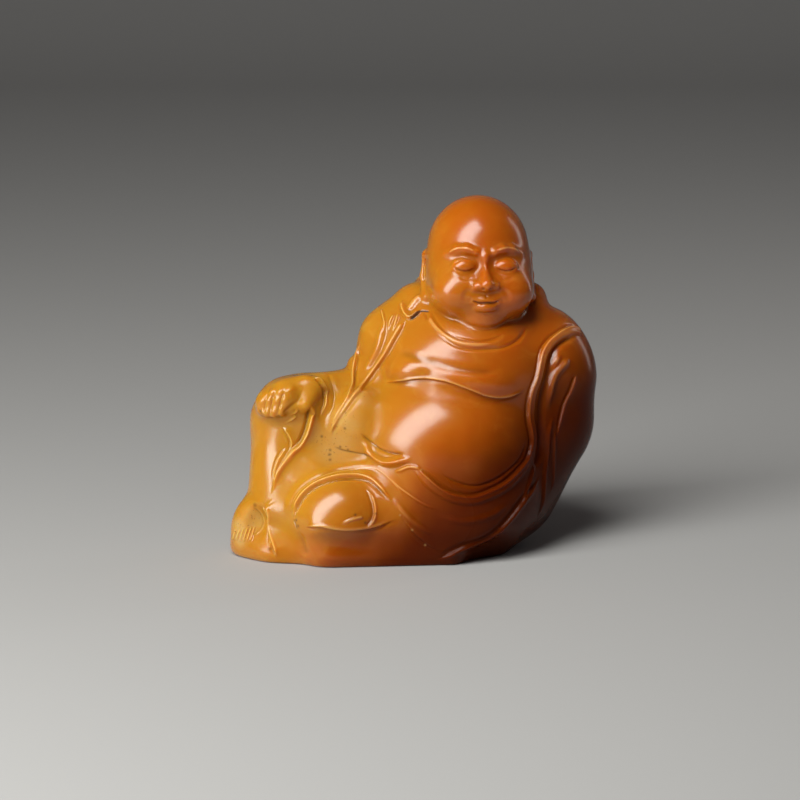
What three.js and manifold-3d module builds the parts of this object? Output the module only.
// A stout monk who reclines in a loose robe, carved from one pebble of honey-coloured stone.
// He leans back to the viewer's right, with one knee raised and the other leg folded in front.
// Millimetres, +Z up. The viewer looks along +Y, and the origin is the middle of the underside.
import * as THREE from "three";
import { mergeVertices } from "three/addons/utils/BufferGeometryUtils.js";
import Module from "manifold-3d";

// Driving dimensions
const HEIGHT = 60; // from the surface that he sits on to his crown
const CANON = 60; // the height in parts: every place and size of the carving is in these parts
const PART = HEIGHT / CANON;
const STAND = [0.02 * PART, -0.525 * PART, 0]; // moves the carving's middle over the origin

// How finely the stone is faceted: lengths of a facet's edge, in parts
const PLAIN = 4;
const CARVED = 1.02;
const FACE_CARVED = 0.65;
const GROWTH = 0.85; // how fast the edges grow with the distance from a carved line
const FLATNESS = 0.15; // how far the middle of an edge may stand off the form
const ROUNDS = 13; // of splitting, flipping and relaxing
const LAST_ROUNDS = 4; // of flipping and relaxing only

const STONE = { color: 0xc9780f, roughness: 0.3, metalness: 0 };

const { clamp, degToRad, lerp, smoothstep } = THREE.MathUtils;
const vector = (place) => new THREE.Vector3(...place);
const turned = (degrees) =>
  new THREE.Quaternion().setFromEuler(new THREE.Euler(...degrees.map(degToRad)));

// Forms: each gives the distance from a point to its surface, less than nothing inside
function egg(centre, radii, turn = [0, 0, 0]) {
  const middle = vector(centre);
  const size = vector(radii);
  const back = turned(turn).invert();
  const local = new THREE.Vector3();
  return (point) => {
    const share = local.copy(point).sub(middle).applyQuaternion(back).divide(size).length();
    const slope = local.divide(size).length();
    return slope > 0 ? (share * (share - 1)) / slope : -Math.min(...radii);
  };
}

function limb(from, to, startRadius, endRadius) {
  const start = vector(from);
  const along = vector(to).sub(start);
  const lengthSquared = along.lengthSq();
  const local = new THREE.Vector3();
  return (point) => {
    local.copy(point).sub(start);
    const share = clamp(local.dot(along) / lengthSquared, 0, 1);
    return local.addScaledVector(along, -share).length() - lerp(startRadius, endRadius, share);
  };
}

// Joins two distances with a soft fillet of about the given width.
function blend(a, b, width) {
  const near = Math.max(width - Math.abs(a - b), 0) / width;
  return Math.min(a, b) - (near * near * width) / 4;
}

// One form from masses, each [form, fillet]. A mass with true after its fillet is cut away.
function formOf(masses) {
  const [[first], ...others] = masses;
  return (point) =>
    others.reduce(
      (gap, [mass, fillet, hollow]) =>
        hollow ? -blend(-gap, mass(point), fillet) : blend(gap, mass(point), fillet),
      first(point),
    );
}

// Trunk, robe and limbs, from the largest masses to the smallest
const TRUNK = [
  [egg([9, 5, 21], [18.5, 13.5, 21])],
  [egg([9.5, 6, 33], [12, 10.5, 11]), 4],
  [egg([8.4, 1.6, 31], [14.6, 11.8, 11]), 3],
  [egg([5, -0.6, 18.2], [16, 14.9, 13.8], [0, 8, 0]), 2],
  [egg([4, -2.5, 8.5], [17.6, 13, 9]), 6],
  [egg([0.4, -4.3, 32.3], [4.6, 4.3, 2.6], [0, -10, 0]), 1.6],
  [egg([9.8, -6.2, 30.9], [7, 4.9, 3], [0, 14, 0]), 1.6],
];
const LEFT_ARM = [
  [egg([21, 5.6, 32.4], [8.4, 8.5, 8.4]), 3],
  [limb([22.9, 6, 28.2], [22.3, 6, 22], 8.3, 8.2), 3],
  [limb([21.4, 6, 19], [15.1, 3.6, 9.5], 7.8, 8.7), 4],
];
const RIGHT_ARM = [
  [limb([1.2, 5.4, 38.8], [-3.6, 3.8, 35.2], 6, 5.2), 3],
  [limb([-3.6, 3.8, 35.2], [-5.8, 3.4, 29], 5.2, 4.9), 3],
  [limb([-6, 2, 26.6], [-18, -2.5, 26], 4.6, 4.2), 3],
  [egg([-9.4, 2.2, 31], [1.9, 2.8, 1.3], [0, 25, 0]), 1],
];
const LEGS = [
  [limb([0, 0.4, 12], [-20.4, -2, 22.4], 9.2, 6.4), 4],
  [limb([-21.5, -2.3, 21.8], [-22.7, -5, 8.6], 6, 5.6), 3],
  [egg([-16.3, -6.3, 5.4], [7.4, 8.6, 12.4]), 4],
  [egg([-3, -0.5, 7], [21, 14.5, 12]), 4],
  [limb([8, -5, 7], [-11, -9.5, 7], 9.5, 7), 3],
  [egg([-12.8, -11.2, 7.8], [8, 6.8, 7], [0, -8, 0]), 1.2],
  [limb([-14, -10.6, 3], [5, -8.8, 3], 6.2, 6.2), 1],
  [egg([-9.5, -19.4, 4], [11, 3.4, 2.8], [0, 4, 0]), 1.2, true],
  [egg([16.5, -14.5, 0], [8, 6, 5]), 2, true],
  [egg([-10.4, -7, 23], [2.8, 3.5, 4.6], [0, 18, 0]), 1.5],
  [egg([-13.4, -12.2, 20.2], [2.6, 3, 3.2], [0, 20, 0]), 2, true],
];
const COLLAR = [
  [limb([2.4, 3, 41.6], [3, 9, 43], 2, 2.6), 1.5],
  [limb([3, 9, 43], [11, 13, 43.6], 2.6, 2.6), 1.5],
  [limb([11, 13, 43.6], [19.6, 8.5, 41.2], 2.6, 2.7), 1.5],
  [limb([19.6, 8.5, 41.2], [21.4, 3.4, 38.8], 2.7, 1.9), 1.5],
];

const FINGER_RADIUS = 0.62;
const FINGERS = [ // from the first to the little one, [knuckle, fingertip]
  [[-20.8, -8.2, 28.9], [-22.4, -9.3, 25.2]],
  [[-22.2, -8.4, 28.5], [-23.6, -8.9, 24.9]],
  [[-23.6, -8, 28.2], [-24.8, -8.2, 24.8]],
  [[-25, -7.5, 27.2], [-25.7, -7.3, 25.1]],
];
const HAND = [
  [egg([-21.2, -4.3, 26], [5.4, 4.8, 4.3], [0, -8, 0]), 1],
  [limb([-17.1, -6, 28.6], [-18.2, -8.2, 26.3], 2, 1.2), 0.6],
  ...FINGERS.map(([knuckle, tip]) => [limb(knuckle, tip, FINGER_RADIUS, FINGER_RADIUS), 0.25]),
];

const TOES = 5;
const TOE_RADIUS = 0.5;
const BIG_TOE_RADIUS = 0.85;
const TOE_ROW = [[-30.7, -5.2, 2.3], [-26.6, -9, 2.9]]; // little toe's tip and big toe's
const FOOT = [
  [egg([-26, -5, 3.6], [5.2, 4.7, 6.9]), 1.5],
  [egg([-28, -5, 1.3], [3.1, 3.6, 1.8]), 1],
  [egg([-22, -5.6, 1.2], [7.4, 8, 3.2]), 1.5],
  [egg([-26.8, -11.1, 6.6], [2.5, 2.3, 2.8]), 0.8, true],
];
for (let i = 0; i < TOES; i++) {
  const tip = vector(TOE_ROW[0]).lerp(vector(TOE_ROW[1]), i / (TOES - 1));
  const root = tip.clone().add(vector([0.6, 0.5, 1.6]));
  const radius = i === TOES - 1 ? BIG_TOE_RADIUS : TOE_RADIUS;
  FOOT.push([limb(root.toArray(), tip.toArray(), radius, radius), 0.25]);
}

const bodyForm = formOf([
  ...TRUNK,
  ...LEFT_ARM,
  ...RIGHT_ARM,
  ...LEGS,
  ...COLLAR,
  ...HAND,
  ...FOOT,
]);

// The head is modelled upright about its own middle, with the face towards -Y, and then set in place.
const HEAD_PLACE = [10.9, 2.2, 47.6];
const HEAD_TURN = [-9, 0, 7];
const SKULL = [
  [egg([0, 1, 3.4], [8.6, 9.2, 9.2])],
  [egg([0.1, -0.9, -3.2], [8.9, 8.4, 7.3]), 4],
];
const EYE_LINE = 0.7; // half way up the head
const BROW_LINE = 3.1; // a third of the face above the nose's base
const NOSE_BASE = -3.3;
const MOUTH_LINE = -5.6; // a third of the way from the nose's base to the chin
const EYE_ACROSS = 3.4;
const BROW_ARCH = [[1.5, -8.7, -0.4], [2.8, -8.5, 0.2], [4.3, -7.9, 0.3], [6.2, -6.6, -0.7]];
const BROW_RADIUS = 0.5;
const FACE = [
  [limb([0, -8.5, EYE_LINE + 1.4], [0, -9.6, NOSE_BASE + 1.3], 0.85, 1), 1.2],
  [egg([0, -9.9, NOSE_BASE + 0.9], [1.25, 1.3, 1.05]), 0.8],
  [egg([0, -8.7, MOUTH_LINE + 0.55], [2.3, 1.05, 0.75]), 0.7],
  [egg([0, -8.5, MOUTH_LINE - 0.6], [1.8, 1.05, 0.8]), 0.7],
  [egg([0, -6, -8.2], [2.8, 2, 1.9]), 2],
];
for (const side of [-1, 1]) {
  const across = EYE_ACROSS * side;
  const brow = BROW_ARCH.map(([x, y, up]) => [x * side, y, BROW_LINE + up]);
  FACE.push(
    [egg([across, -9.7, EYE_LINE + 0.1], [2.8, 1.8, 1.7]), 1.6, true],
    [egg([across, -7.35, EYE_LINE + 0.05], [2.15, 1.65, 1.4]), 0.4],
    ...brow.slice(1).map((end, i) => [limb(brow[i], end, BROW_RADIUS, BROW_RADIUS), 1]),
    [egg([1.4 * side, -9.2, NOSE_BASE + 0.75], [0.9, 1.1, 0.8]), 0.4],
    [egg([5 * side, -6, -3.6], [3, 2.9, 2.8]), 3],
  );
}

// Ears, each a rolled rim down to a long lobe
const EAR_RIM = [[8, -0.4, 2.6], [8.5, 1.8, 2.4], [8.8, 2, -1.2], [8.6, 0.3, -4.6]];
const EAR_RADII = [0.7, 0.85, 0.9, 1.25];
const EARS = [];
for (const side of [-1, 1]) {
  for (let i = 1; i < EAR_RIM.length; i++) {
    const [from, to] = [EAR_RIM[i - 1], EAR_RIM[i]].map(([x, y, z]) => [x * side, y, z]);
    EARS.push([limb(from, to, EAR_RADII[i - 1], EAR_RADII[i]), 0.6]);
  }
}
const headForm = formOf([...SKULL, ...FACE, ...EARS]);

// Small features that need small facets: [middle, radius, edge length]
const BODY_FINE = [
  [[-23.5, -8.6, 26.8], 2.6, 0.6],
  [[-17.8, -7.5, 27.4], 1.6, 0.9],
  [[-28.8, -7.2, 3.2], 2.8, 0.6],
];
const HEAD_FINE = [
  [[0, -10, -2.6], 2.4, 0.6],
  [[3.8, -8.6, 2], 2.8, 0.7],
  [[-3.8, -8.6, 2], 2.8, 0.7],
  [[9, 1, -1], 3.6, 1],
  [[-9, 1, -1], 3.6, 1],
];

// Lines of the carving, drawn as [across, up] on the stone as it is seen from one side
const VIEWS = {
  front: { eye: ([across, up]) => [across, -60, up], way: [0, 1, 0] },
  back: { eye: ([across, up]) => [across, 60, up], way: [0, -1, 0] },
  right: { eye: ([across, up]) => [60, across, up], way: [-1, 0, 0] },
  left: { eye: ([across, up]) => [-60, across, up], way: [1, 0, 0] },
};

// Heights across a line, at a share of its half width. A lip is high on the left of the way it is drawn.
const LIP_REACH = 3.5;
const SECTIONS = {
  bead: (share) => Math.cos((clamp(share, -1, 1) * Math.PI) / 2) ** 2,
  groove: (share) => -(Math.max(1 - Math.abs(share), 0) ** 1.5),
  lip: (share) => {
    if (share > 0) return Math.max(1 - share / LIP_REACH, 0) ** 2;
    return 1 - 1.3 * smoothstep(-share, 0, 0.8) + 0.3 * smoothstep(-share, 0.8, 1.6);
  },
};
// Shares at which a row of vertices is held along the line
const ROWS = { bead: [0, -1, 1], groove: [0, -1, 1], lip: [0, -0.9] };

// [seen from, section, half width, height, points]
const BODY_LINES = [
  // His left lapel, from the shoulder down and round the belly, and the hollow beside it
  ["front", "bead", 1, 0.7, [
    [27.4, 37.3], [24.7, 37.2], [21.5, 34.5], [20.5, 30.4], [19.3, 26.4], [19.6, 21.4],
    [18.8, 16.7], [15.1, 13.2], [9.6, 12], [4.3, 13.8], [-0.4, 17.6],
  ]],
  ["front", "groove", 1.1, 0.8, [
    [27.5, 36.4], [23.8, 35.4], [22.2, 30.8], [20.9, 26.1], [21.2, 20], [19.9, 14.8],
  ]],
  // Folds of his left sleeve, and the robe's hem below it
  ["front", "bead", 1, 0.6, [[25.9, 32.6], [23.8, 29.4], [22.5, 24], [22.7, 18.9], [21.1, 9.5]]],
  ["front", "lip", 1, 0.5, [[27.3, 30], [25.9, 27.1], [24.5, 22.6], [23.7, 14.6], [23.4, 10.5]]],
  ["front", "lip", 1, 0.7, [[21.3, 15.1], [18.7, 10.9], [14.9, 6.3], [8.4, 2.9], [3.3, 0.5]]],
  // Breast, neck and the cord across the lap
  ["front", "lip", 1, 0.6, [
    [-5.5, 29.2], [-2, 30.5], [4.3, 31], [12.1, 28.4], [16.9, 28.1], [18.8, 28.9],
  ]],
  ["front", "groove", 1, 0.6, [
    [1.1, 41.4], [3.6, 38.7], [7, 36.6], [12.1, 36], [17.6, 37], [19.1, 38.7],
  ]],
  ["front", "bead", 1, 0.8, [[-8.9, 21.2], [-7.1, 18.9], [-3.8, 17.5], [-0.2, 18.3]]],
  // Lapel, sleeve and collar on his right
  ["front", "lip", 1, 0.7, [[-12.5, 19], [-12.5, 23.1], [-8.2, 28.9], [-4.8, 34.1], [-1.4, 39.7]]],
  ["front", "bead", 1.3, 0.6, [[-5.1, 39.6], [-5.5, 37.5], [-7.5, 32.6], [-8.7, 30.4]]],
  ["front", "lip", 1, 0.6, [[-14.7, 22.1], [-11.1, 27.2], [-10.3, 30.4], [-8.9, 34.8]]],
  ["front", "lip", 1, 0.8, [[-0.5, 44.3], [-2, 41.7], [-0.8, 39.8], [1.5, 41.3]]],
  // Cuff, and the folds that fall from the raised knee
  ["front", "lip", 1, 0.7, [[-17.1, 30.6], [-15.4, 29.1], [-15, 26.1], [-16.1, 23.3]]],
  ["front", "bead", 1, 0.7, [[-17.1, 26.6], [-18.1, 21.8], [-21.4, 16.3], [-24.2, 10.6]]],
  ["front", "lip", 1, 0.9, [[-24.8, 10.6], [-24.3, 8.1], [-23.7, 4.5], [-23.2, 0.5]]],
  // Folded knee in its ring of cloth, and the leg under it
  ["front", "lip", 1, 0.8, [
    [-20.2, 8], [-18.7, 11.9], [-15, 14.3], [-10, 14.9], [-6.4, 14], [-3.8, 11.3],
  ]],
  ["front", "bead", 1, 0.6, [[-8.2, 13.3], [-6.7, 10.7], [-7.6, 7.5]]],
  ["front", "lip", 1, 0.7, [[-18.4, 6.9], [-13.8, 7.1], [-10.1, 6.7], [-6.1, 7.4], [-2.4, 8.7]]],
  ["front", "lip", 1, 0.5, [[-2.2, 9.2], [-0.4, 6.8], [4.3, 2.7]]],
  ["front", "bead", 1.2, 0.5, [[-4.8, 16], [-0.6, 12.4], [4.4, 10]]],
  // Robe over his back and his right side
  ["back", "bead", 1.7, 1, [[20, 36], [14, 28], [4, 19], [-8, 12]]],
  ["back", "bead", 1.7, 1, [[12, 37], [5, 29], [-5, 21]]],
  ["back", "bead", 1.7, 1, [[25, 26], [17, 17], [6, 9], [-6, 5]]],
  ["left", "bead", 1.3, 0.7, [[2, 25], [3, 16], [0, 8]]],
];
const HEAD_LINES = [
  ["front", "groove", 0.6, 0.55, [
    [-2.4, -5.2], [-1.2, -5.65], [0, -5.6], [1.2, -5.65], [2.4, -5.2],
  ]],
];
for (const side of [-1, 1]) {
  HEAD_LINES.push(
    // Closed lids, and the crease of the double chin
    ["front", "groove", 0.55, 0.5, [[5.3 * side, 0.7], [3.4 * side, -0.1], [1.6 * side, 0.4]]],
    ["front", "groove", 0.9, 0.4, [[0.2 * side, -9.5], [3.4 * side, -9], [6 * side, -7]]],
  );
}

// The form's slope at a point, from the corners of a small tetrahedron about it
const PROBE = 0.05;
const PROBE_CORNERS = [[1, 1, 1], [1, -1, -1], [-1, 1, -1], [-1, -1, 1]].map(vector);
function wayOut(form, point) {
  const probe = new THREE.Vector3();
  const way = new THREE.Vector3();
  for (const corner of PROBE_CORNERS) {
    way.addScaledVector(corner, form(probe.copy(point).addScaledVector(corner, PROBE)));
  }
  return way.normalize();
}

const settle = (form, point) => point.addScaledVector(wayOut(form, point), -form(point));

// Walks in from outside until it meets the form.
const CAREFUL = 0.6; // share of the distance that one step takes, because the forms are not exact
const CLOSE = 1e-3;
function meet(form, start, way, reach) {
  const point = new THREE.Vector3();
  let gone = 0;
  let gap = Infinity;
  while (gap > CLOSE && gone < reach) {
    point.copy(start).addScaledVector(way, gone);
    gap = form(point) * CAREFUL;
    gone += Math.max(gap, 0);
  }
  return point;
}

// A drawn line laid on the form. It tells how near a point is to it, and how high the carving is there.
const LINE_STEPS = 16;
const LINE_ENDS = 0.2; // share of its length over which a line fades in and out
class LaidLine {
  constructor(form, [view, section, halfWidth, height, points]) {
    const { eye, way } = VIEWS[view];
    const drawn = new THREE.SplineCurve(points.map((point) => new THREE.Vector2(...point)));
    const places = drawn
      .getSpacedPoints(LINE_STEPS)
      .map(({ x, y }) => meet(form, vector(eye([x, y])), vector(way), 2 * CANON));
    this.section = SECTIONS[section];
    this.rows = ROWS[section];
    this.halfWidth = halfWidth;
    this.height = height;
    this.reach = PLAIN / GROWTH + this.halfWidth;
    this.box = new THREE.Box3().setFromPoints(places).expandByScalar(this.reach);
    this.stretches = places.slice(1).map((end, i) => {
      const along = end.clone().sub(places[i]);
      const left = wayOut(form, places[i]).cross(along);
      return { from: places[i], along, left, lengthSquared: along.lengthSq() };
    });
  }

  nearest(point) {
    if (!this.box.containsPoint(point)) return null;
    const found = { distance: Infinity };
    const away = new THREE.Vector3();
    this.stretches.forEach(({ from, along, left, lengthSquared }, i) => {
      away.copy(point).sub(from);
      const share = clamp(away.dot(along) / lengthSquared, 0, 1);
      const distance = away.addScaledVector(along, -share).length();
      if (distance >= found.distance) return;
      const place = from.clone().addScaledVector(along, share);
      const side = Math.sign(away.dot(left)) || 1;
      Object.assign(found, { distance, place, side, gone: (i + share) / LINE_STEPS });
    });
    return found;
  }

  // The place on the nearest of the line's rows, if that is nearer than reach
  hold(point, reach) {
    const found = this.nearest(point);
    if (!found || found.gone <= 0 || found.gone >= 1) return null;
    const across = found.side * found.distance;
    const row = this.rows.find((share) => Math.abs(across - share * this.halfWidth) < reach);
    if (row === undefined) return null;
    const outwards = point.clone().sub(found.place).setLength(row * this.halfWidth * found.side);
    return { row, place: row === 0 ? found.place : found.place.add(outwards) };
  }

  relief(point) {
    const found = this.nearest(point);
    if (!found) return 0;
    const fade =
      smoothstep(found.gone, 0, LINE_ENDS) * smoothstep(1 - found.gone, 0, LINE_ENDS);
    return this.height * fade * this.section((found.side * found.distance) / this.halfWidth);
  }
}

// The stone's skin: a ball wrapped on a form, refaceted until its edges suit the carving
class Skin {
  constructor(form, lines, carved, fine) {
    this.form = form;
    this.carved = carved;
    this.lines = lines.map((line) => new LaidLine(form, line));
    this.fine = fine.map(([middle, radius, edge]) => ({ middle: vector(middle), radius, edge }));
  }

  wrap(centre, reach, detail) {
    const ball = new THREE.IcosahedronGeometry(1, detail);
    ball.deleteAttribute("normal");
    ball.deleteAttribute("uv");
    const bare = mergeVertices(ball, 1e-5);
    const middle = vector(centre);
    const ways = bare.getAttribute("position");
    this.places = Array.from({ length: ways.count }, (_, i) => {
      const way = new THREE.Vector3().fromBufferAttribute(ways, i).normalize();
      return meet(this.form, middle.clone().addScaledVector(way, reach), way.negate(), reach);
    });
    this.faces = Array.from({ length: bare.index.count / 3 }, (_, f) =>
      [0, 1, 2].map((k) => bare.index.getX(3 * f + k)),
    );
    return this;
  }

  // Length that an edge should have at a point
  edgeAt(point) {
    let edge = PLAIN;
    for (const spot of this.fine) {
      const beyond = Math.max(point.distanceTo(spot.middle) - spot.radius, 0);
      edge = Math.min(edge, spot.edge + GROWTH * beyond);
    }
    for (const line of this.lines) {
      const found = line.nearest(point);
      if (!found) continue;
      const beyond = Math.max(found.distance - line.halfWidth, 0);
      edge = Math.min(edge, this.carved + GROWTH * beyond);
    }
    return edge;
  }

  edges() {
    const edges = new Map();
    this.faces.forEach((corners, f) => {
      corners.forEach((a, k) => {
        const b = corners[(k + 1) % 3];
        const key = a < b ? `${a} ${b}` : `${b} ${a}`;
        if (edges.has(key)) edges.get(key).faces.push(f);
        else edges.set(key, { a, b, faces: [f] });
      });
    });
    return edges;
  }

  // Halves the edges that are too long, the longest first and no two of one facet.
  split() {
    const long = [];
    for (const edge of this.edges().values()) {
      const [a, b] = [this.places[edge.a], this.places[edge.b]];
      edge.middle = a.clone().add(b).multiplyScalar(0.5);
      const bent = Math.abs(this.form(edge.middle)) / FLATNESS;
      edge.excess = Math.max(a.distanceTo(b) / this.edgeAt(edge.middle), Math.min(bent, 2));
      if (edge.excess > 1.35) long.push(edge);
    }
    long.sort((one, other) => other.excess - one.excess);
    const used = new Set();
    for (const { a, b, faces, middle } of long) {
      if (faces.some((f) => used.has(f))) continue;
      const added = this.places.push(settle(this.form, settle(this.form, middle))) - 1;
      for (const f of faces) {
        const corners = this.faces[f];
        this.faces[f] = corners.map((corner) => (corner === b ? added : corner));
        used.add(f);
        used.add(this.faces.push(corners.map((corner) => (corner === a ? added : corner))) - 1);
      }
    }
  }

  normal([a, b, c]) {
    const [p, q, r] = [this.places[a], this.places[b], this.places[c]];
    return q.clone().sub(p).cross(r.clone().sub(p)).normalize();
  }

  angle(tip, a, b) {
    const one = this.places[a].clone().sub(this.places[tip]);
    return one.angleTo(this.places[b].clone().sub(this.places[tip]));
  }

  // Turns edges where that gives rounder facets, or lets an edge run along a carved line.
  flip() {
    const edges = this.edges();
    const valence = new Array(this.places.length).fill(0);
    for (const { a, b } of edges.values()) {
      valence[a] += 1;
      valence[b] += 1;
    }
    const used = new Set();
    for (const { a, b, faces } of [...edges.values()]) {
      if (faces.some((f) => used.has(f)) || Math.min(valence[a], valence[b]) < 5) continue;
      const [f, g] = faces;
      const c = this.faces[f].find((corner) => corner !== a && corner !== b);
      const d = this.faces[g].find((corner) => corner !== a && corner !== b);
      const key = c < d ? `${c} ${d}` : `${d} ${c}`;
      if (edges.has(key)) continue;
      const onLine = (one, other) => this.held[one] && this.held[one] === this.held[other];
      const bias = (onLine(a, b) ? 0.6 : 0) - (onLine(c, d) ? 0.6 : 0);
      if (this.angle(c, a, b) + this.angle(d, a, b) < Math.PI + 0.01 + bias) continue;
      const turnedFaces = [[a, d, c], [d, b, c]];
      const outwards = this.normal(this.faces[f]).add(this.normal(this.faces[g])).normalize();
      if (turnedFaces.some((corners) => this.normal(corners).dot(outwards) < 0.5)) continue;
      [this.faces[f], this.faces[g]] = turnedFaces;
      faces.forEach((face) => used.add(face));
      edges.set(key, null);
      valence[a] -= 1;
      valence[b] -= 1;
    }
  }

  // Moves every vertex towards the middle of its facets, those on a carved line only along it.
  relax() {
    const edge = this.places.map((place) => this.edgeAt(place));
    const sums = this.places.map(() => new THREE.Vector3());
    const weights = new Array(this.places.length).fill(0);
    for (const corners of this.faces) {
      const [p, q, r] = corners.map((corner) => this.places[corner]);
      const area = q.clone().sub(p).cross(r.clone().sub(p)).length();
      const size = (edge[corners[0]] + edge[corners[1]] + edge[corners[2]]) / 3;
      const weight = area / size ** 2;
      for (const corner of corners) {
        for (const place of [p, q, r]) sums[corner].addScaledVector(place, weight / 3);
        weights[corner] += weight;
      }
    }
    this.held = [];
    this.places = sums.map((sum, i) => {
      const place = settle(this.form, settle(this.form, sum.divideScalar(weights[i])));
      for (const [index, line] of this.lines.entries()) {
        const found = line.hold(place, 0.4 * edge[i]);
        if (!found) continue;
        this.held[i] = `${index} ${found.row}`;
        return settle(this.form, found.place);
      }
      return place;
    });
  }

  carve() {
    this.held = [];
    for (let round = 0; round < ROUNDS; round++) {
      this.split();
      this.flip();
      this.relax();
    }
    for (let round = 0; round < LAST_ROUNDS; round++) {
      this.flip();
      this.relax();
    }
    this.flip();
    this.places.forEach((place) => {
      const heights = this.lines.map((line) => line.relief(place));
      const height = Math.max(0, ...heights) + Math.min(0, ...heights);
      place.addScaledVector(wayOut(this.form, place), height);
    });
    return this;
  }

  solid(place = [0, 0, 0], turn = [0, 0, 0]) {
    const [away, round] = [vector(place), turned(turn)];
    const places = this.places.flatMap((corner) =>
      corner.clone().applyQuaternion(round).add(away).multiplyScalar(PART).toArray(),
    );
    return solidFrom(places, this.faces.flat());
  }
}

// Joins and cuts
const wasm = await Module();
wasm.setup();

function solidFrom(places, corners) {
  const vertProperties = new Float32Array(places);
  const triVerts = new Uint32Array(corners);
  return new wasm.Manifold(new wasm.Mesh({ numProp: 3, vertProperties, triVerts }));
}

function boxSolid(size, centre) {
  const box = new THREE.BoxGeometry(...size).translate(...centre);
  box.deleteAttribute("normal");
  box.deleteAttribute("uv");
  const bare = mergeVertices(box, 1e-5);
  return solidFrom(bare.getAttribute("position").array, bare.index.array);
}

function geometryOf(solid) {
  const mesh = solid.getMesh();
  const geometry = new THREE.BufferGeometry();
  geometry.setAttribute("position", new THREE.BufferAttribute(mesh.vertProperties, mesh.numProp));
  geometry.setIndex(new THREE.BufferAttribute(mesh.triVerts, 1));
  return geometry;
}

const body = new Skin(bodyForm, BODY_LINES, CARVED, BODY_FINE).wrap([1, 0.5, 17], CANON, 7);
const head = new Skin(headForm, HEAD_LINES, FACE_CARVED, HEAD_FINE).wrap([0, 0, 0], CANON, 5);
const carved = body.carve().solid().add(head.carve().solid(HEAD_PLACE, HEAD_TURN));
const below = boxSolid([4 * HEIGHT, 4 * HEIGHT, HEIGHT], [0, 0, -HEIGHT / 2]);
const figure = new THREE.Mesh(
  geometryOf(carved.subtract(below)).translate(...STAND),
  new THREE.MeshStandardMaterial(STONE),
);
figure.name = "figure";

const carving = new THREE.Group();
carving.add(figure);
export default carving;
